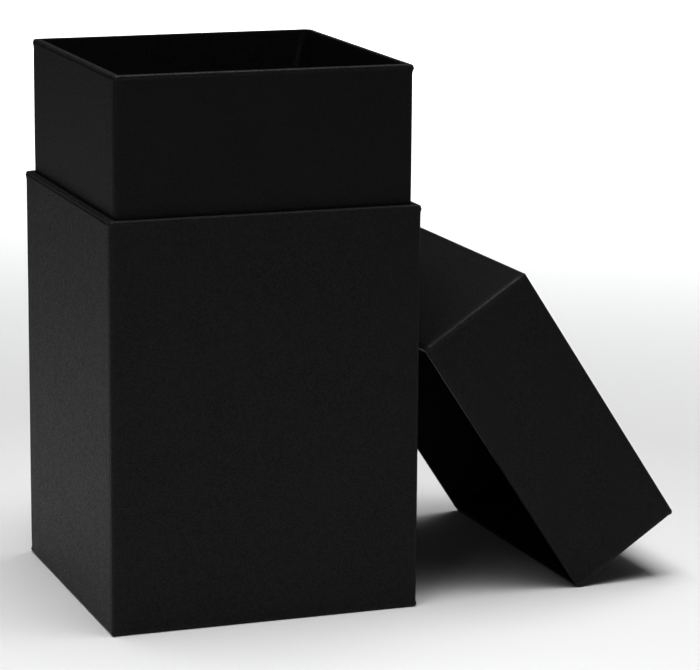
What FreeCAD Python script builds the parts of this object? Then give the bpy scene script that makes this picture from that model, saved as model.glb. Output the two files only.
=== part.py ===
"""Rigid paper-covered box: a base with an inner neck, and a lift-off lid that leans on the base.

Frame, in millimetres: the origin is the centre of the base's underside, +X points towards the lid,
+Y to the back and +Z up.
"""
import FreeCAD, Part
import math
import os

from FreeCAD import Placement, Rotation, Vector

# Driving dimensions
SIDE = 101.6              # outside width and depth of the base and the lid
CLOSED_HEIGHT = 177.8     # the whole box with its lid on
BASE_HEIGHT = 131.5
LID_HEIGHT = 41.2

BOARD = 1.8               # greyboard thickness
PAPER = 0.15              # covering paper thickness
TAPE = 0.10               # corner tape thickness, and the glue line beside it
FIT_GAP = 0.15            # sliding clearance on each side of the neck

FOLD_RADIUS = 1.0         # outside radius of a folded corner
RIM_RADIUS = 0.6          # outside radius where the paper turns over a rim
BASE_TURN_IN = 15.0       # how far the base's paper runs down inside
NECK_TURN_IN = 28.0       # how far the neck's paper runs down inside
TAPE_REACH = 12.0         # how far a corner tape runs along each wall
TAPE_END = 1.5            # bare board left past each end of a corner tape
LINER_GAP = 0.25          # a liner's edge to the walls around it
JOINT_SLIT = 0.2          # hairline where the ends of the neck's strip meet
SEAM = 0.05               # hairline between the neck's two inside papers

LEAN = 56.6               # angle of the leaning lid's rim plane to the ground, degrees
TURN = 1.25               # turn of the leaning lid about the vertical, degrees
LEAN_GAP = 0.35           # between the lid's upper rim and the base
LID_CENTRE_Y = 2.3        # the leaning lid stands this far behind the base's middle

# Sizes that follow
COVER = PAPER + TAPE                       # from a piece's outside to its board
WALL = COVER + BOARD + PAPER               # a finished wall
PLATE = PAPER + BOARD + PAPER              # a finished floor or lid top
NECK_SIDE = SIDE - 2 * (WALL + FIT_GAP)
NECK_TOP = CLOSED_HEIGHT - PLATE
FLOOR = PAPER + BOARD                      # the top of a tray's board, which the neck stands on
LID_TURN_IN = LID_HEIGHT - FLOOR           # the lid's paper runs all the way down inside


def block(side, low, high):
    """A square block centred on the Z axis, from height low to height high."""
    return Part.makeBox(side, side, high - low, Vector(-side / 2, -side / 2, low))


def edges_at(shape, height):
    """The horizontal edges of a shape that lie at one height."""
    return [edge for edge in shape.Edges
            if all(abs(vertex.Point.z - height) < 1e-6 for vertex in edge.Vertexes)]


def upright_edges(shape):
    """The vertical edges of a shape."""
    return [edge for edge in shape.Edges if edge.BoundBox.XLength < 1e-6 and edge.BoundBox.YLength < 1e-6]


def folded_block(side, low, high, corner, bottom=0.0, top=0.0):
    """A square block with rounded upright edges and, where given, rounded bottom and top edges."""
    shape = block(side, low, high)
    shape = shape.makeFillet(corner, upright_edges(shape))
    if bottom:
        shape = shape.makeFillet(bottom, edges_at(shape, low))
    if top:
        shape = shape.makeFillet(top, edges_at(shape, high))
    return shape


def tape_layer(side, low, high):
    """The thin layer under the paper that the corner tapes lie in."""
    under_paper = folded_block(side - 2 * PAPER, low, high, FOLD_RADIUS - PAPER)
    return under_paper.cut(folded_block(side - 2 * COVER, low, high, FOLD_RADIUS - COVER))


def corner_tape(side, low, high, x_side, y_side):
    """One corner tape: the part of the tape layer near the corner on the given sides."""
    near = side / 2 - TAPE_REACH
    x_low = min(x_side * near, x_side * SIDE)
    y_low = min(y_side * near, y_side * SIDE)
    reach = Part.makeBox(SIDE - near, SIDE - near, high - low, Vector(x_low, y_low, low))
    return tape_layer(side, low, high).common(reach)


def tray_board(height):
    """A greyboard tray, open at the top, folded up from one scored blank."""
    outside = folded_block(SIDE - 2 * COVER, PAPER, height - PAPER, FOLD_RADIUS - COVER,
                           FOLD_RADIUS - COVER, RIM_RADIUS - PAPER)
    return outside.cut(block(SIDE - 2 * (COVER + BOARD), FLOOR, height))


def tray_wrap(height, turn_in):
    """A tray's paper: the outside and underside, over the rim, and turn_in down the inside."""
    outside = folded_block(SIDE, 0, height, FOLD_RADIUS, FOLD_RADIUS, RIM_RADIUS)
    core = folded_block(SIDE - 2 * PAPER, PAPER, height - PAPER, FOLD_RADIUS - PAPER,
                        FOLD_RADIUS - PAPER, RIM_RADIUS - PAPER)
    board_inside = SIDE - 2 * (COVER + BOARD)
    flap = block(board_inside, height - turn_in, height - PAPER)
    mouth = block(SIDE - 2 * WALL, height - turn_in - 1, height + 1)
    return outside.cut(core).fuse(flap).cut(mouth).removeSplitter()


def floor_paper(clear_width):
    """A square of paper on a tray's board, inside walls that are clear_width apart."""
    return block(clear_width - 2 * LINER_GAP, FLOOR, PLATE)


def tray_pieces(name, height, turn_in, corners):
    """The board, wrap and corner tapes of one tray, standing open side up, by node name."""
    pieces = {name + "_board": tray_board(height), name + "_wrap": tray_wrap(height, turn_in)}
    for corner, (x_side, y_side) in corners.items():
        tape = corner_tape(SIDE, PAPER + TAPE_END, height - PAPER - TAPE_END, x_side, y_side)
        pieces[name + "_stay_" + corner] = tape
    return pieces


def neck_board():
    """The neck's greyboard strip, folded into a square tube whose ends meet at the back right corner."""
    inside = NECK_SIDE - 2 * (COVER + BOARD)
    tube = folded_block(NECK_SIDE - 2 * COVER, FLOOR, NECK_TOP - PAPER, FOLD_RADIUS - COVER,
                        0, RIM_RADIUS - PAPER)
    tube = tube.cut(block(inside, FLOOR - 1, NECK_TOP))
    corner = inside / 2
    slit = Part.makeBox(2 * BOARD, JOINT_SLIT, NECK_TOP, Vector(corner, corner - JOINT_SLIT, 0))
    return tube.cut(slit)


def neck_wrap():
    """The neck's paper: the outside, over the rim, and NECK_TURN_IN down the inside."""
    outside = folded_block(NECK_SIDE, FLOOR, NECK_TOP, FOLD_RADIUS, 0, RIM_RADIUS)
    core = folded_block(NECK_SIDE - 2 * PAPER, FLOOR - 1, NECK_TOP - PAPER, FOLD_RADIUS - PAPER,
                        0, RIM_RADIUS - PAPER)
    flap = block(NECK_SIDE - 2 * (COVER + BOARD), NECK_TOP - NECK_TURN_IN, NECK_TOP - PAPER)
    mouth = block(NECK_SIDE - 2 * WALL, NECK_TOP - NECK_TURN_IN - 1, NECK_TOP + 1)
    return outside.cut(core).fuse(flap).cut(mouth).removeSplitter()


def neck_lining():
    """The paper on the neck's inside, from the floor up to the turned-in paper."""
    top = NECK_TOP - NECK_TURN_IN - SEAM
    outside = block(NECK_SIDE - 2 * (COVER + BOARD), FLOOR, top)
    return outside.cut(block(NECK_SIDE - 2 * WALL, FLOOR - 1, top + 1))


def leaning_placement(skin):
    """Where the lid stands: turned over, leaned on the base, and set down on the ground."""
    turned = Rotation(Vector(0, 0, 1), TURN) * Rotation(Vector(0, 1, 0), 180 + LEAN)
    leaned = skin.copy()
    leaned.Placement = Placement(Vector(0, 0, 0), turned)
    box = leaned.optimalBoundingBox()
    middle = turned.multVec(Vector(0, 0, LID_HEIGHT / 2))
    move = Vector(SIDE / 2 + LEAN_GAP - box.XMin, LID_CENTRE_Y - middle.y, -box.ZMin)
    return Placement(move, turned)


base_corners = {"front_left": (-1, -1), "front_right": (1, -1), "back_right": (1, 1), "back_left": (-1, 1)}
lid_corners = {"front_low": (-1, -1), "front_high": (1, -1), "back_high": (1, 1), "back_low": (-1, 1)}

pieces = tray_pieces("base", BASE_HEIGHT, BASE_TURN_IN, base_corners)
pieces["base_floor_liner"] = floor_paper(NECK_SIDE - 2 * WALL)
pieces["neck_board"] = neck_board()
pieces["neck_joint_tape"] = corner_tape(NECK_SIDE, FLOOR + TAPE_END, NECK_TOP - PAPER - TAPE_END, 1, 1)
pieces["neck_wrap"] = neck_wrap()
pieces["neck_lining"] = neck_lining()

lid_pieces = tray_pieces("lid", LID_HEIGHT, LID_TURN_IN, lid_corners)
lid_pieces["lid_liner"] = floor_paper(SIDE - 2 * WALL)
lean = leaning_placement(lid_pieces["lid_wrap"])
for name, shape in lid_pieces.items():
    shape.Placement = lean
    pieces[name] = shape

os.makedirs("parts", exist_ok=True)
for name, shape in pieces.items():
    solids = shape.Solids
    print(f"{name}: {len(solids)} solid, valid {shape.isValid()}, {shape.Volume / 1000:.2f} cm3")
    shape = solids[0] if len(solids) == 1 else Part.Compound(solids)
    shape.exportStep("parts/" + name + ".step")
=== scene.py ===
"""Looks for a black paper-covered rigid box: a base with an inner neck, and a lid that leans on the base.

Lengths are in millimetres until mesh() turns them into metres. Each covered piece is built in its own frame,
standing open side up on the Z axis. The lid is then turned over and leaned as the CAD lid is.
"""

import math
from typing import NamedTuple

import bpy
from mathutils import Matrix, Vector, noise


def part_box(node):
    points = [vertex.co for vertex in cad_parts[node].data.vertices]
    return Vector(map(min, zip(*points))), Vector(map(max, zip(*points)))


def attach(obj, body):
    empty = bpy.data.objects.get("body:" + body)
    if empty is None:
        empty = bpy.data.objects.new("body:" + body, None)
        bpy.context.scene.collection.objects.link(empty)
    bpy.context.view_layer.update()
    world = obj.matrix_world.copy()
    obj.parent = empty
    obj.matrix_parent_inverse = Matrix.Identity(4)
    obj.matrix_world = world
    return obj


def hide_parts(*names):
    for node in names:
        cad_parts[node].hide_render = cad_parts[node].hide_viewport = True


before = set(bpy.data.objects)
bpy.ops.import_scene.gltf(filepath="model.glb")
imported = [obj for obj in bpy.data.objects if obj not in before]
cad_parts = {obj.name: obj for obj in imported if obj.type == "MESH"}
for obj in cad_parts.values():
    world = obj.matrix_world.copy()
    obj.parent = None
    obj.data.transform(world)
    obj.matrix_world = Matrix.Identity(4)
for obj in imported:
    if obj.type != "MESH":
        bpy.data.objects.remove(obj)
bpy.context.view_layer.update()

MM = 0.001

# The same sizes as the CAD model: thicknesses first
PAPER = 0.15
TAPE = 0.10
BOARD = 1.8
COVER = PAPER + TAPE                # from a wall's outside to its board
WALL = COVER + BOARD + PAPER        # a whole wall
FLOOR = PAPER + BOARD               # up to the top of a tray's board
PLATE = FLOOR + PAPER               # up to the top of the paper on it
FOLD_RADIUS = 1.0
RIM_RADIUS = 0.6
BASE_TURN_IN = 15.0                 # how far the paper runs down inside
NECK_TURN_IN = 28.0
TAPE_REACH = 12.0                   # how far a corner tape runs along each wall
LID_HEIGHT = 41.2
LEAN = 56.6                         # the leaning lid's rim plane to the ground, in degrees
TURN = 1.25                         # its turn about Z


def high_corner(node):
    """The highest corner of a CAD node's box, in millimetres."""
    low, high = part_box(node)
    return high / MM


base_corner = high_corner("base_wrap")
neck_corner = high_corner("neck_wrap")
HALF = base_corner.x
BASE_HEIGHT = base_corner.z
NECK_HALF = neck_corner.x
NECK_TOP = neck_corner.z

# Where the lid stands: turned over and leaned, with its liner's middle where the CAD liner's is
lid_turn = Matrix.Rotation(math.radians(TURN), 4, "Z") @ Matrix.Rotation(math.radians(180 + LEAN), 4, "Y")
liner_low, liner_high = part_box("lid_liner")
liner_middle = lid_turn @ Vector((0, 0, (FLOOR + PLATE) / 2 * MM))
LID_PLACE = Matrix.Translation((liner_low + liner_high) / 2 - liner_middle) @ lid_turn
UPRIGHT = Matrix.Identity(4)

# ---------------------------------------------------------------- how the paper lies

# A wall's top is pressed in and the rest swells, with a change between two depths below the rim
LIP = 0.17
SWELL = 0.08
LIP_END = 0.95
LIP_START = 1.45
SWELL_RISE = 4.0                    # the height over which the swelling sets in

INNER_RIM_RADIUS = 0.3
RIM_TOP = (1.1, 1.4)                # insets of the flat top of a rim
RIM_SINK = 0.02                     # how far the paper on a rim is pulled down
CORNER_DROP = 0.08                  # how much lower a rim is at its corners
CORNER_WIDTH = 1.0                  # and how far from the corner the drop reaches

# Small waves on broad ones: their heights and lengths
SMALL_WAVE = 0.02
SMALL_LENGTH = 9.0
BROAD_WAVE = 0.03
BROAD_LENGTH = 33.0

# How far a corner tape and a flap's ear show through the paper, and where along a wall each gives way
TAPE_SHOWS = 0.04
TAPE_EDGE = (TAPE_REACH - 3, TAPE_REACH + 2)
EAR_SHOWS = 0.09
EAR_EDGE = (0.55, 0.74)

# Depths below the rim and heights above the foot between which one thing gives way to the next
BELOW_RIM = (0.3, 2.0)
ABOVE_FOOT = (0.6, 2.5)
RIM_ZONE = (1.0, 4.0)

# Where folded paper bunches at the corners and where folds are rubbed, each as a middle and a width,
# below the rim or above the foot. The rim's rubbed band also carries a painted highlight.
RIM_BUNCH = (1.1, 1.0)
FOOT_BUNCH = (0.95, 0.8)
BUNCH_WIDTH = 1.25
BUNCH_RUB = 1.8
BUNCH_RUB_WIDTH = 1.4
RIM_RUB_AND_HIGHLIGHT = (0.25, 0.45)
FOOT_RUB = (0.25, 0.6)
INNER_RUB = (0.45, 0.5)
INNER_RUB_SHARE = 0.25

# A flap's cut edge inside the neck: a slanted step that starts this far from the corner, and a painted
# highlight along it
FLAP_START = 1.1
FLAP_SLANT = 0.13
FLAP_STEP = 0.16
FLAP_BLUR = 0.2
FLAP_TOP = (0.5, 2.0)
FLAP_HIGHLIGHT = 2.2
FLAP_HIGHLIGHT_WIDTH = 0.8

# The neck's lining laps over the turned-in paper's end, where it rises, and its own end laps over its start
LINING_LAP = 3.0
LINING_LIFT = PAPER + 0.03
LINING_RISE = (-0.7, 0.1)           # heights from the turned-in paper's end
LINING_JOINT = 0.12
JOINT_EDGE = (11.2, 11.7)           # distances from the corner
LINING_RUB = 0.4
LINING_RUB_WIDTH = 0.6

COVE = 0.35                         # the paper's radius across an inside corner
NECK_COVE_GROWTH = 1.5              # how much it grows down the neck, and how far down
NECK_COVE_DEPTH = 26.0

TUCK = 0.05                         # how far a floor sheet reaches into the walls' paper, to hide the board
SHEET_STEPS = 36
SHEET_WAVE = 0.025                  # how high its waves are, and how long the small and broad ones
SHEET_SMALL = 11
SHEET_BROAD = 37
SHEET_LIFT = 0.06                   # how far its edges lift, from SHEET_EDGE inside them
SHEET_EDGE = 2.5
SHEET_THICKNESS = 0.8 * PAPER

FRONT, RIGHT, BACK, LEFT = range(4)

# ---------------------------------------------------------------- folded paper

# Distances from a corner along a wall where a sheet has a row of points, dense where the paper changes level
STATIONS = (0.3, 0.5, 0.62, 0.74, 0.95, 1.2, 1.5, 1.8, 2.1, 2.5, 2.9, 3.4, 4.2, 5.5, 7.5, 9.5,
            11.2, 11.7, 13, 15, 18, 22, 27, 32, 38)
END_STEPS = (0.2, 0.4, 0.6, 0.8, 1.05, 1.4, 1.9, 2.6, 3.6, 5, 7.5, 11, 15)
END_MARGIN = 0.5
RIM_GAP = 0.2                       # between a wall's rows and the arcs over its rim
INNER_GAP = 0.4
FOOT_GAP = 0.4                      # and the arc round its foot
WALL_GAP = 9.0
CORNER_STEPS = 7
RIM_STEPS = 5
FOOT_STEPS = 6
FOOT_SHARES = (0.25, 0.5, 0.72, 0.88, 0.96)
LEAST_CORNER = 0.2                  # the smallest radius of an outside corner
QUARTER = math.pi / 2
OUTSIDE_TILT = math.radians(60)     # paper tilted less than this is on a wall's outside
RIM_TILT = math.radians(120)        # and less than this, on its rim
SHARP_EDGE = math.radians(50)


class Row(NamedTuple):
    """One ring of a sheet: how far in from the piece's side it is, how high, and how its paper faces.

    tilt goes from 0, outward, through a quarter turn, up, to a half turn, inward. share shrinks the ring
    towards the Z axis, for a covered floor.
    """

    inset: float
    height: float
    tilt: float
    share: float = 1.0


class Spot(NamedTuple):
    """One point of a ring round the Z axis, with what the folds need to know about it."""

    x: float
    y: float
    out: Vector
    wall: int
    corner: int
    from_corner: float      # along the wall from the end of the corner's arc
    around: float           # along the ring from the middle of the corner's arc


def smooth_step(low, high, value):
    """0 below low and 1 above high, with a smooth rise between them."""
    share = min(1.0, max(0.0, (value - low) / (high - low)))
    return share * share * (3 - 2 * share)


def bell(value, middle, width):
    """A bell of height 1 at its middle."""
    return math.exp(-((value - middle) / width) ** 2)


def ring(half, radius):
    """The points of a square with rounded corners, anticlockwise from the front wall's left end."""
    spots = []
    straight = half - radius
    places = [d - straight for d in STATIONS] + [0.0] + [straight - d for d in reversed(STATIONS)]
    half_arc = math.pi / 4
    for wall in range(4):
        c, s = math.cos(wall * QUARTER), math.sin(wall * QUARTER)
        next_corner = (wall + 1) % 4
        for along in places:
            x, y = along * c + half * s, along * s - half * c
            corner = wall if along < 0 else next_corner
            from_corner = straight - abs(along)
            around = from_corner + half_arc * radius
            spots.append(Spot(x, y, Vector((s, -c, 0)), wall, corner, from_corner, around))
        for step in range(CORNER_STEPS + 1):
            angle = (step / CORNER_STEPS - 1) * QUARTER
            out_x, out_y = math.cos(angle), math.sin(angle)
            out = Vector((out_x * c - out_y * s, out_x * s + out_y * c, 0))
            x, y = straight + radius * out_x, -straight + radius * out_y
            nearer = wall if step * 2 < CORNER_STEPS else next_corner
            around = abs(angle + half_arc) * radius
            spots.append(Spot(x * c - y * s, x * s + y * c, out, nearer, next_corner, 0.0, around))
    return spots


def arc(inset, height, radius, start, end, steps):
    """Rows on an arc round a point, from one angle to another in degrees: 0 is outward and 90 is up."""
    rows = []
    for step in range(steps + 1):
        angle = math.radians(start + (end - start) * step / steps)
        rows.append(Row(inset - radius * math.cos(angle), height + radius * math.sin(angle), angle))
    return rows


def wall_heights(low, high):
    """Heights between low and high, dense at both ends and at most WALL_GAP apart."""
    ends = [step for step in END_STEPS if step < (high - low) / 2 - END_MARGIN]
    margin = ends.pop() if ends else 0
    first, last = low + margin, high - margin
    count = max(1, math.ceil((last - first) / WALL_GAP))
    middle = [first + (last - first) * i / count for i in range(count + 1)]
    return [low + step for step in ends] + middle + [high - step for step in reversed(ends)]


def inner_profile(high, low):
    """Rows down the inside of a wall."""
    return [Row(WALL, height, math.pi) for height in reversed(wall_heights(low, high))]


def outer_profile(low, rim, swell_from):
    """Rows up the outside of a wall, which swells a little with its glue and is pressed in under its rim."""
    rows = []
    for height in wall_heights(low, rim - RIM_RADIUS - RIM_GAP):
        below_lip = smooth_step(LIP_END, LIP_START, rim - height)
        swollen = SWELL * smooth_step(swell_from, swell_from + SWELL_RISE, height)
        rows.append(Row(LIP * (1 - below_lip) - swollen * below_lip, height, 0.0))
    return rows


def rim_profile(height, turn_in):
    """Rows over the rim from the outside, and turn_in down the inside."""
    over = arc(LIP + RIM_RADIUS, height - RIM_RADIUS, RIM_RADIUS, 0, 90, RIM_STEPS)
    flat = [Row(inset, height, QUARTER) for inset in RIM_TOP]
    down = arc(WALL - INNER_RIM_RADIUS, height - INNER_RIM_RADIUS, INNER_RIM_RADIUS, 90, 180, RIM_STEPS)
    return over + flat + down + inner_profile(height - INNER_RIM_RADIUS - INNER_GAP, height - turn_in)


def foot_profile():
    """Rows of a covered floor: flat from near the middle, then round the fold."""
    flat = [Row(FOLD_RADIUS, 0.0, -QUARTER, share) for share in FOOT_SHARES]
    return flat + arc(FOLD_RADIUS, FOLD_RADIUS, FOLD_RADIUS, -90, 0, FOOT_STEPS)


def tray_profile(height, turn_in):
    """Rows of a covered tray: under the floor, up the outside, over the rim and down the inside."""
    wall_foot = FOLD_RADIUS + FOOT_GAP
    return foot_profile() + outer_profile(wall_foot, height, wall_foot) + rim_profile(height, turn_in)


def mesh(name, points, faces, place, wear_and_highlight):
    """A smooth-shaded mesh object from points in millimetres, put in its place in metres."""
    data = bpy.data.meshes.new(name)
    data.from_pydata([place @ (point * MM) for point in points], [], faces)
    data.validate()
    # This layer marks rubbed folds and painted highlights on rims and edges, which the paper's material
    # makes lighter
    layer = data.attributes.new("wear_and_highlight", "FLOAT", "POINT")
    layer.data.foreach_set("value", wear_and_highlight)
    data.polygons.foreach_set("use_smooth", [True] * len(data.polygons))
    data.set_sharp_from_angle(angle=SHARP_EDGE)
    obj = bpy.data.objects.new(name, data)
    bpy.context.scene.collection.objects.link(obj)
    return obj


def folded_sheet(name, half, profile, relief, cove, place=UPRIGHT):
    """A sheet of paper wrapped round the Z axis along a profile, as a closed thin shell.

    relief(spot, height, tilt) gives how far the paper stands out along its normal, how far it stands
    out from the Z axis, and how worn it is, which also paints highlights on it. cove(height) is its radius
    across the inside corners.
    """
    outside, inside, wear_and_highlight = [], [], []
    for row in profile:
        on_outside = row.inset < COVER + BOARD
        radius = max(FOLD_RADIUS - row.inset, LEAST_CORNER) if on_outside else cove(row.height)
        for spot in ring(half - row.inset, radius):
            normal = spot.out * math.cos(row.tilt) + Vector((0, 0, math.sin(row.tilt)))
            along_normal, outward, worn_and_highlit = relief(spot, row.height, row.tilt)
            point = Vector((spot.x * row.share, spot.y * row.share, row.height)) + normal * along_normal
            point += spot.out * outward
            outside.append(point)
            inside.append(point - normal * PAPER)
            wear_and_highlight.append(worn_and_highlit if row.share == 1.0 else 0.0)
    around = len(ring(half, FOLD_RADIUS))
    count = len(profile) * around
    last = count - around
    closed_floor = profile[0].share < 1.0
    faces = []
    for i in range(around):
        j = (i + 1) % around
        for start in range(0, last, around):
            a, b, c, d = start + i, start + j, start + around + j, start + around + i
            faces.append((a, b, c, d))
            faces.append((count + d, count + c, count + b, count + a))
        faces.append((last + i, last + j, count + last + j, count + last + i))
        if not closed_floor:
            faces.append((j, i, count + i, count + j))
    if closed_floor:
        faces.append(tuple(reversed(range(around))))
        faces.append(tuple(range(count, count + around)))
    return mesh(name, outside + inside, faces, place, wear_and_highlight + wear_and_highlight)


def floor_sheet(name, half, seed, place=UPRIGHT):
    """A square of paper glued down inside a tray, a little uneven and lifting slightly at its edges."""
    top, bottom = [], []
    for row in range(SHEET_STEPS + 1):
        for column in range(SHEET_STEPS + 1):
            x, y = half * (2 * column / SHEET_STEPS - 1), half * (2 * row / SHEET_STEPS - 1)
            edge = smooth_step(half - SHEET_EDGE, half, max(abs(x), abs(y)))
            small = noise.noise(Vector((x / SHEET_SMALL + seed, y / SHEET_SMALL, 0)))
            broad = noise.noise(Vector((x / SHEET_BROAD, y / SHEET_BROAD, seed)))
            wave = small + broad
            height = PLATE + SHEET_WAVE * wave + SHEET_LIFT * edge * (1 + wave)
            top.append(Vector((x, y, height)))
            bottom.append(Vector((x, y, height - SHEET_THICKNESS)))
    side = SHEET_STEPS + 1
    total = side ** 2
    faces = []
    for row in range(SHEET_STEPS):
        for column in range(SHEET_STEPS):
            a = row * side + column
            faces.append((a, a + 1, a + side + 1, a + side))
            faces.append((total + a + side, total + a + side + 1, total + a + 1, total + a))
    for i in range(SHEET_STEPS):
        front, back = (i, i + 1), (total - 1 - i, total - 2 - i)
        left, right = ((i + 1) * side, i * side), ((i + 1) * side - 1, (i + 2) * side - 1)
        for a, b in (front, back, left, right):
            faces.append((b, a, total + a, total + b))
    return mesh(name, top + bottom, faces, place, [0.0] * (2 * total))


# ---------------------------------------------------------------- relief


def unevenness(spot, height, seed, length):
    """Smooth noise from -1 to 1 over the paper."""
    return noise.noise(Vector((spot.x / length + seed, spot.y / length, height / length)))


def ripple(spot, height, seed):
    """How unevenly a glued paper lies: small waves on broad ones."""
    small = unevenness(spot, height, seed, SMALL_LENGTH)
    broad = unevenness(spot, height, seed + 5, BROAD_LENGTH)
    return SMALL_WAVE * small + BROAD_WAVE * broad


def outer_face(spot, height, below_rim, seed, foot):
    """The relief of a cover's outside, away from its corners' bunches.

    The corner tapes show under the paper, and the side flaps lie over the ears of the front and back ones.
    """
    shown = smooth_step(*BELOW_RIM, below_rim)
    if foot:
        shown *= smooth_step(*ABOVE_FOOT, height)
    sunk = TAPE_SHOWS * smooth_step(*TAPE_EDGE, spot.from_corner)
    if spot.wall in (LEFT, RIGHT):
        sunk += EAR_SHOWS * (1 - smooth_step(*EAR_EDGE, spot.from_corner))
    return (ripple(spot, height, seed) - sunk) * shown


def flap_edge(spot, below_rim):
    """The step of a flap's cut edge inside a wall, and a painted highlight along it."""
    reach = FLAP_START + FLAP_SLANT * below_rim
    lapped = 1 - smooth_step(reach - FLAP_BLUR, reach + FLAP_BLUR, spot.from_corner)
    step = FLAP_STEP * lapped * smooth_step(*FLAP_TOP, below_rim)
    # A painted highlight along the flap's cut edge
    worn_and_highlit = FLAP_HIGHLIGHT * bell(spot.from_corner, reach, FLAP_HIGHLIGHT_WIDTH) * smooth_step(*RIM_ZONE, below_rim)
    return step, worn_and_highlit


def covered(seed, top, rim_bunches, foot_bunches=None, lap=None, rim_rub_and_highlight=1.6, edge_rub_and_highlight=0.7, edge_rub_and_highlight_width=0.9):
    """The relief of a paper cover whose rim is at height top.

    rim_bunches and foot_bunches say how far the folded paper stands out at each corner, and lap is a
    wall and corner where a flap's cut edge shows inside, with a painted highlight along it. The rubbing
    arguments say how rubbed its folds are at the rim and at the upright edges, which also paints highlights
    there, and how wide the upright edges' band is.
    """
    foot = foot_bunches is not None

    def outside(spot, height, below_rim, rounded):
        bunch = rim_bunches[spot.corner] * bell(below_rim, *RIM_BUNCH)
        # Upright edges and the rim are lightened as rubbed folds and as a painted highlight
        folds = [edge_rub_and_highlight * bell(spot.around, 0, edge_rub_and_highlight_width), rim_rub_and_highlight * bell(below_rim, *RIM_RUB_AND_HIGHLIGHT)]
        if foot:
            bunch += foot_bunches[spot.corner] * bell(height, *FOOT_BUNCH)
            folds.append(bell(height, *FOOT_RUB))
        folds.append(min(1.0, BUNCH_RUB * bunch * bell(spot.around, 0, BUNCH_RUB_WIDTH)))
        along = outer_face(spot, height, below_rim, seed, foot) - rounded
        return along, bunch * bell(spot.around, 0, BUNCH_WIDTH), max(folds)

    def relief(spot, height, tilt):
        below_rim = top - height
        dropped = CORNER_DROP * bell(spot.around, 0, CORNER_WIDTH) * (1 - smooth_step(*RIM_ZONE, below_rim))
        rounded = dropped * math.sin(tilt)
        if tilt < OUTSIDE_TILT:
            return outside(spot, height, below_rim, rounded)
        along = ripple(spot, height, seed)
        if tilt < RIM_TILT:
            # The rim's top is lightened as rubbed paper and as a painted highlight
            return along - RIM_SINK - rounded, 0.0, rim_rub_and_highlight
        worn_and_highlit = INNER_RUB_SHARE * bell(below_rim, *INNER_RUB)
        if lap == (spot.wall, spot.corner):
            step, flap_highlight = flap_edge(spot, below_rim)
            return along + step, 0.0, max(worn_and_highlit, flap_highlight)
        return along, 0.0, worn_and_highlit
    return relief


def lining(seed, top):
    """The relief of the neck's lining, which laps over the end of the turned-in paper and over itself."""
    end = top - NECK_TURN_IN
    rise_low, rise_high = LINING_RISE

    def relief(spot, height, tilt):
        along = ripple(spot, height, seed)
        along += LINING_LIFT * smooth_step(end + rise_low, end + rise_high, height)
        if (spot.wall, spot.corner) == (LEFT, 3):
            along += LINING_JOINT * (1 - smooth_step(*JOINT_EDGE, spot.from_corner))
        return along, 0.0, LINING_RUB * bell(height, end + LINING_LAP, LINING_RUB_WIDTH)
    return relief


def sharp_cove(height):
    """A tray's paper is pressed into its inside corners all the way down."""
    return COVE


def neck_cove(height):
    """The neck's paper bridges its inside corners, more so further down."""
    return COVE + NECK_COVE_GROWTH * smooth_step(0, NECK_COVE_DEPTH, NECK_TOP - height)


# ---------------------------------------------------------------- pieces

# The rubbing values lighten folds both as wear and as painted highlights, strongest on the neck's rim and on
# the lid's upright edges
base_paper = folded_sheet(
    "base_paper", HALF, tray_profile(BASE_HEIGHT, BASE_TURN_IN),
    covered(1.0, BASE_HEIGHT, rim_bunches=(0.26, 0.40, 0.30, 0.42), foot_bunches=(0.34, 0.26, 0.24, 0.20),
            rim_rub_and_highlight=1.2),
    sharp_cove)
neck_paper = folded_sheet(
    "neck_paper", NECK_HALF,
    outer_profile(FLOOR, NECK_TOP, swell_from=BASE_HEIGHT) + rim_profile(NECK_TOP, NECK_TURN_IN),
    covered(11.0, NECK_TOP, rim_bunches=(0.22, 0.60, 0.24, 0.34), lap=(BACK, 2), rim_rub_and_highlight=2.6),
    neck_cove)
neck_inside = folded_sheet(
    "neck_lining_paper", NECK_HALF, inner_profile(NECK_TOP - NECK_TURN_IN + LINING_LAP, FLOOR),
    lining(17.0, NECK_TOP), neck_cove)
lid_paper = folded_sheet(
    "lid_paper", HALF, tray_profile(LID_HEIGHT, LID_HEIGHT - FLOOR),
    covered(23.0, LID_HEIGHT, rim_bunches=(0.0, 0.18, 0.12, 0.0), foot_bunches=(0.20, 0.22, 0.22, 0.20),
            rim_rub_and_highlight=0.4, edge_rub_and_highlight=1.7, edge_rub_and_highlight_width=1.4),
    sharp_cove, place=LID_PLACE)
base_floor = floor_sheet("base_floor_paper", NECK_HALF - WALL + TUCK, 3.0)
lid_inside = floor_sheet("lid_liner_paper", HALF - WALL + TUCK, 8.0, place=LID_PLACE)

# ---------------------------------------------------------------- materials

PAPER_BLACK = (0.006, 0.006, 0.00625)
NECK_BLACK = (0.0054, 0.0053, 0.0055)
LINING_BLACK = (0.0054, 0.0053, 0.0056)
NOISE_RANGE = (0.38, 0.62)  # where most values of a fine noise lie
BROAD_RANGE = (0.3, 0.7)    # and of a coarser one

# Black paper: sizes as shares of the grain's, then how much each adds to the height and the mottling
PEBBLE_SIZE = 0.8
PEBBLE_SMOOTHNESS = 0.8
WRINKLE_SIZE = 2.6
SPECKLE_SIZE = 0.5
FINE_HEIGHT = 0.4
PEBBLE_HEIGHT = 0.4
WRINKLE_HEIGHT = 0.9
SPECKLE_MOTTLE = 0.85
WRINKLE_MOTTLE = 0.15

# How much lighter than its colour it is where the dye is thin or thick, where it is clouded, where folds are
# rubbed and carry painted highlights, and where it is dusty
THICK_DYE = 0.45
THIN_DYE = 1.55
CLOUDED = 1.5
RUBBED_AND_HIGHLIT = 4.0
DUSTY = 6.0

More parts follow.
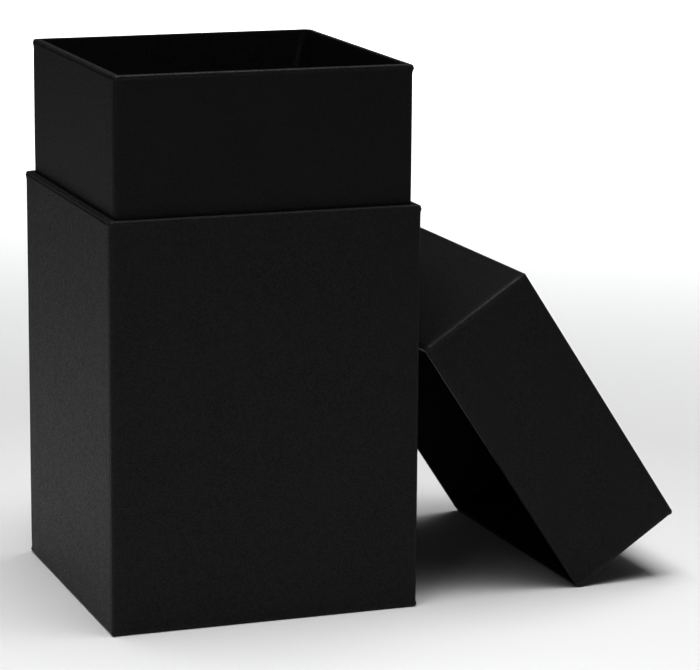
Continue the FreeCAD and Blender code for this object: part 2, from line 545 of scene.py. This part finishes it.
CLOUD_SIZE = 22.0
CLOUD_SHARE = 0.25
DUST_APART = 11.0           # between the specks of dust, and their radius
DUST_SIZE = 0.22
DUST_SHARE = 0.8
ROUGHNESS_SWING = 0.08      # how far the mottling changes the roughness, and how far rubbing lowers it
RUBBED_SMOOTHER = 0.1


class Finish:
    """A material made of nodes, with a short way to add and join them."""

    def __init__(self, name, roughness, specular):
        self.material = bpy.data.materials.new(name)
        self.material.use_nodes = True
        self.tree = self.material.node_tree
        self.shader = self.tree.nodes["Principled BSDF"]
        self.shader.inputs["Roughness"].default_value = roughness
        self.shader.inputs["Specular IOR Level"].default_value = specular
        self.place = self.tree.nodes.new("ShaderNodeTexCoord").outputs["Object"]

    def node(self, kind, inputs, output=0, **settings):
        """Adds a node, sets or joins its inputs by name or number, and returns one of its outputs."""
        made = self.tree.nodes.new(kind)
        for key, value in settings.items():
            setattr(made, key, value)
        for key, value in inputs.items():
            if isinstance(value, bpy.types.NodeSocket):
                self.tree.links.new(value, made.inputs[key])
            else:
                made.inputs[key].default_value = value
        return made.outputs[output]

    def noise(self, size, detail=3.0, distortion=0.0):
        """Noise from 0 to 1 whose features are about size millimetres."""
        inputs = {"Vector": self.place, "Scale": 1 / (size * MM), "Detail": detail, "Distortion": distortion}
        return self.node("ShaderNodeTexNoise", inputs)

    def specks(self, size):
        """The distance to the nearest of many scattered points, about size millimetres apart."""
        return self.node("ShaderNodeTexVoronoi", {"Vector": self.place, "Scale": 1 / (size * MM)})

    def pebbles(self, size):
        """The same distance, smoothed where the points' neighbourhoods meet."""
        inputs = {"Vector": self.place, "Scale": 1 / (size * MM), "Smoothness": PEBBLE_SMOOTHNESS}
        return self.node("ShaderNodeTexVoronoi", inputs, feature="SMOOTH_F1")

    def ranged(self, value, low, high, to_low, to_high):
        """A value's range from low to high, stretched or squeezed to another."""
        inputs = {"Value": value, "From Min": low, "From Max": high, "To Min": to_low, "To Max": to_high}
        return self.node("ShaderNodeMapRange", inputs)

    def add(self, a, b):
        return self.node("ShaderNodeMath", {0: a, 1: b}, operation="ADD")

    def subtract(self, a, b):
        return self.node("ShaderNodeMath", {0: a, 1: b}, operation="SUBTRACT")

    def multiply(self, a, b):
        return self.node("ShaderNodeMath", {0: a, 1: b}, operation="MULTIPLY")

    def mixed(self, share, a, b):
        """Colour a, turning to b as share goes from 0 to 1."""
        return self.node("ShaderNodeMix", {0: share, 6: a, 7: b}, output=2, data_type="RGBA")

    def use(self, socket, value):
        self.tree.links.new(value, self.shader.inputs[socket])

    def emboss(self, height, depth):
        """Raises the surface by a height from 0 to 1, of depth millimetres."""
        inputs = {"Height": height, "Strength": 1.0, "Distance": depth * MM}
        self.use("Normal", self.node("ShaderNodeBump", inputs))


def shade(colour, factor=1.0):
    """A colour, as red, green, blue and alpha, made lighter or darker."""
    return tuple(channel * factor for channel in colour) + (1.0,)


def black_paper(name, colour, roughness, specular, grain, depth, worn_and_highlit_share):
    """Dyed black paper: a pressed grain, mottled dye, folds rubbed lighter, which also paints highlights on
    rims and edges, and a few specks of dust.
    """
    finish = Finish(name, roughness, specular)
    fine = finish.noise(grain, 3.0)
    pebble = finish.pebbles(PEBBLE_SIZE * grain)
    wrinkle = finish.noise(WRINKLE_SIZE * grain, 4.0, 1.6)
    pressed = finish.add(finish.multiply(fine, FINE_HEIGHT), finish.multiply(pebble, PEBBLE_HEIGHT))
    finish.emboss(finish.add(pressed, finish.multiply(wrinkle, WRINKLE_HEIGHT)), depth)

    speckle = finish.noise(SPECKLE_SIZE * grain, 2.0)
    mottle = finish.add(finish.multiply(speckle, SPECKLE_MOTTLE), finish.multiply(wrinkle, WRINKLE_MOTTLE))
    dye = finish.ranged(mottle, *NOISE_RANGE, 0.0, 1.0)
    body = finish.mixed(dye, shade(colour, THICK_DYE), shade(colour, THIN_DYE))
    cloud = finish.ranged(finish.noise(CLOUD_SIZE, 2.0), *BROAD_RANGE, 0.0, CLOUD_SHARE)
    clouded = finish.mixed(cloud, body, shade(colour, CLOUDED))

    # The layer of rubbed folds and painted highlights on rims and upright edges makes the colour lighter
    wear_and_highlight = finish.node("ShaderNodeAttribute", {}, output="Fac", attribute_name="wear_and_highlight")
    rubbed_and_highlit = finish.multiply(wear_and_highlight, finish.ranged(fine, *NOISE_RANGE, 0.25, 1.0))
    worn_and_highlit = finish.mixed(finish.multiply(rubbed_and_highlit, worn_and_highlit_share), clouded, shade(colour, RUBBED_AND_HIGHLIT))
    speck = DUST_SIZE / DUST_APART
    dust = finish.ranged(finish.specks(DUST_APART), 0.6 * speck, speck, DUST_SHARE, 0.0)
    finish.use("Base Color", finish.mixed(dust, worn_and_highlit, shade(colour, DUSTY)))

    rough, smooth = roughness + ROUGHNESS_SWING, roughness - ROUGHNESS_SWING
    uneven = finish.ranged(mottle, *NOISE_RANGE, rough, smooth)
    finish.use("Roughness", finish.subtract(uneven, finish.multiply(rubbed_and_highlit, RUBBED_SMOOTHER)))
    return finish.material


def plain_board(name, colour, fleck, grain, depth):
    """Grey or brown uncoated stock: pulp mottling, flecks and a fibrous surface."""
    finish = Finish(name, 0.9, 0.3)
    pulp = finish.noise(grain, 5.0, 0.8)
    mottle = finish.ranged(pulp, *BROAD_RANGE, 0.0, 1.0)
    tint = finish.mixed(mottle, shade(colour, 0.82), shade(colour, 1.12))
    broad = finish.ranged(finish.noise(14.0, 2.0), *BROAD_RANGE, 0.0, 0.3)
    tint = finish.mixed(broad, tint, shade(colour, 0.75))
    flecks = finish.ranged(finish.noise(0.5, 1.0), 0.66, 0.72, 0.0, 0.6)
    finish.use("Base Color", finish.mixed(flecks, tint, shade(fleck)))
    finish.use("Roughness", finish.ranged(pulp, *BROAD_RANGE, 0.84, 0.95))
    finish.emboss(pulp, depth)
    return finish.material


wrap_finish = black_paper("black_wrap_paper", PAPER_BLACK, roughness=0.55, specular=0.1,
                          grain=1.0, depth=0.1, worn_and_highlit_share=0.35)
neck_finish = black_paper("black_neck_paper", NECK_BLACK, roughness=0.55, specular=0.077,
                          grain=1.0, depth=0.09, worn_and_highlit_share=0.35)
lining_finish = black_paper("black_lining_paper", LINING_BLACK, roughness=0.6, specular=0.08,
                            grain=0.9, depth=0.05, worn_and_highlit_share=0.2)
board_finish = plain_board("greyboard", (0.24, 0.225, 0.2), fleck=(0.1, 0.09, 0.08), grain=1.6, depth=0.05)
tape_finish = plain_board("gummed_corner_tape", (0.42, 0.3, 0.18), fleck=(0.25, 0.17, 0.1), grain=1.1,
                          depth=0.03)

pieces = (
    (base_paper, "base", ("base_wrap",), "wrap_paper", wrap_finish),
    (neck_paper, "base", ("neck_wrap",), "neck_paper", neck_finish),
    (neck_inside, "base", ("neck_lining",), "lining_paper", lining_finish),
    (base_floor, "base", ("base_floor_liner",), "lining_paper", lining_finish),
    (lid_paper, "lid", ("lid_wrap",), "wrap_paper", wrap_finish),
    (lid_inside, "lid", ("lid_liner",), "lining_paper", lining_finish),
)
replaced = set()
for piece, body, nodes, slot, finish in pieces:
    piece.data.materials.append(finish)
    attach(piece, body)
    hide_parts(*nodes)
    replaced.update(nodes)
for node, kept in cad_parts.items():
    if node in replaced:
        continue
    kept.data.materials.clear()
    kept.data.materials.append(board_finish if node.endswith("board") else tape_finish)

# ---------------------------------------------------------------- floor and backdrop

FLOOR_SIZE = 30.0           # these lengths are in metres
FADE_START = 0.25
FADE_END = 1.2
BACKDROP_WHITE = (0.97, 0.98, 1.0)
BACKDROP_LIGHT = 0.02       # the share of the backdrop's white that lights the object


def floor_finish():
    """A pale matt floor. Away from the object, the camera sees it fade into the backdrop's white."""
    finish = Finish("pale_floor", 0.9, 0.1)
    tint = finish.noise(400.0, 2.0)
    finish.use("Base Color", finish.mixed(tint, shade((0.84, 0.84, 0.84)), shade((0.86, 0.86, 0.86))))
    away = finish.node("ShaderNodeVectorMath", {0: finish.place}, output="Value", operation="LENGTH")
    faded = finish.ranged(away, FADE_START, FADE_END, 0.0, 1.0)
    seen = finish.node("ShaderNodeLightPath", {}, output="Is Camera Ray")
    finish.use("Emission Strength", finish.multiply(faded, seen))
    finish.shader.inputs["Emission Color"].default_value = shade(BACKDROP_WHITE)
    return finish.material


reach = FLOOR_SIZE / 2
corners = [(-reach, -reach, 0), (reach, -reach, 0), (reach, reach, 0), (-reach, reach, 0)]
floor_data = bpy.data.meshes.new("floor")
floor_data.from_pydata(corners, [], [(0, 1, 2, 3)])
floor_data.materials.append(floor_finish())
floor = bpy.data.objects.new("floor", floor_data)
bpy.context.scene.collection.objects.link(floor)

world = bpy.data.worlds.new("studio")
bpy.context.scene.world = world
world.use_nodes = True
backdrop = world.node_tree.nodes["Background"]
ray = world.node_tree.nodes.new("ShaderNodeLightPath")
strength = world.node_tree.nodes.new("ShaderNodeMapRange")
strength.inputs["To Min"].default_value = BACKDROP_LIGHT
strength.inputs["To Max"].default_value = 1.0
world.node_tree.links.new(ray.outputs["Is Camera Ray"], strength.inputs["Value"])
world.node_tree.links.new(strength.outputs["Result"], backdrop.inputs["Strength"])
backdrop.inputs["Color"].default_value = shade(BACKDROP_WHITE)

# ---------------------------------------------------------------- lights and camera


def softbox(name, power, width, place, aim, grid=180):
    """A square soft light, in metres and watts, turned to face a point.

    A grid narrows the angle that it spreads over, in degrees.
    """
    data = bpy.data.lights.new(name, "AREA")
    data.energy = power
    data.size = width
    data.spread = math.radians(grid)
    light = bpy.data.objects.new(name, data)
    light.location = place
    light.rotation_euler = (Vector(aim) - Vector(place)).to_track_quat("-Z", "Y").to_euler()
    light.visible_camera = False
    bpy.context.scene.collection.objects.link(light)


softbox("overhead", 6.9, 0.6, (0.05, 0.0, 0.95), aim=(0.05, 0.0, 0.0))
softbox("window", 0.7, 0.35, (-0.4, -0.42, 0.95), aim=(0.05, 0.0, 0.1))
softbox("front", 0.35, 0.3, (-0.15, -0.92, 0.09), aim=(0.1, 0.0, 0.04))
softbox("left_floor", 0.4, 0.5, (-0.35, 0.05, 0.8), aim=(-0.35, 0.05, 0.0), grid=70)
softbox("front_floor", 0.74, 0.6, (0.0, -0.36, 0.8), aim=(0.0, -0.36, 0.0), grid=70)
softbox("right_floor", 0.15, 0.6, (0.55, 0.1, 0.8), aim=(0.55, 0.1, 0.0), grid=70)
softbox("back_floor", 2.15, 0.9, (0.52, 0.95, 1.1), aim=(0.52, 0.95, 0.0), grid=60)
softbox("background", 6.5, 1.4, (0.75, 1.9, 1.3), aim=(0.75, 1.9, 0.0), grid=60)

bpy.context.scene.view_settings.view_transform = "Standard"

CAMERA_PLACE = (-308.1, -964.4, 303.9)
CAMERA_YAW = math.radians(20.153)       # to the right of +Y
CAMERA_PITCH = math.radians(12.323)     # down
CAMERA_ROLL = math.radians(0.46)
CAMERA_LENS = 163.15

level = Vector((math.cos(CAMERA_YAW), -math.sin(CAMERA_YAW), 0))
ahead = Vector((math.sin(CAMERA_YAW) * math.cos(CAMERA_PITCH), math.cos(CAMERA_YAW) * math.cos(CAMERA_PITCH),
                -math.sin(CAMERA_PITCH)))
raised = level.cross(ahead)
across = level * math.cos(CAMERA_ROLL) + raised * math.sin(CAMERA_ROLL)
upward = raised * math.cos(CAMERA_ROLL) - level * math.sin(CAMERA_ROLL)
camera = bpy.data.objects.new("camera", bpy.data.cameras.new("camera"))
camera.matrix_world = Matrix((across, upward, -ahead)).transposed().to_4x4()
camera.location = Vector(CAMERA_PLACE) * MM
camera.data.sensor_width = 36.0
camera.data.lens = CAMERA_LENS
bpy.context.scene.collection.objects.link(camera)
bpy.context.scene.camera = camera
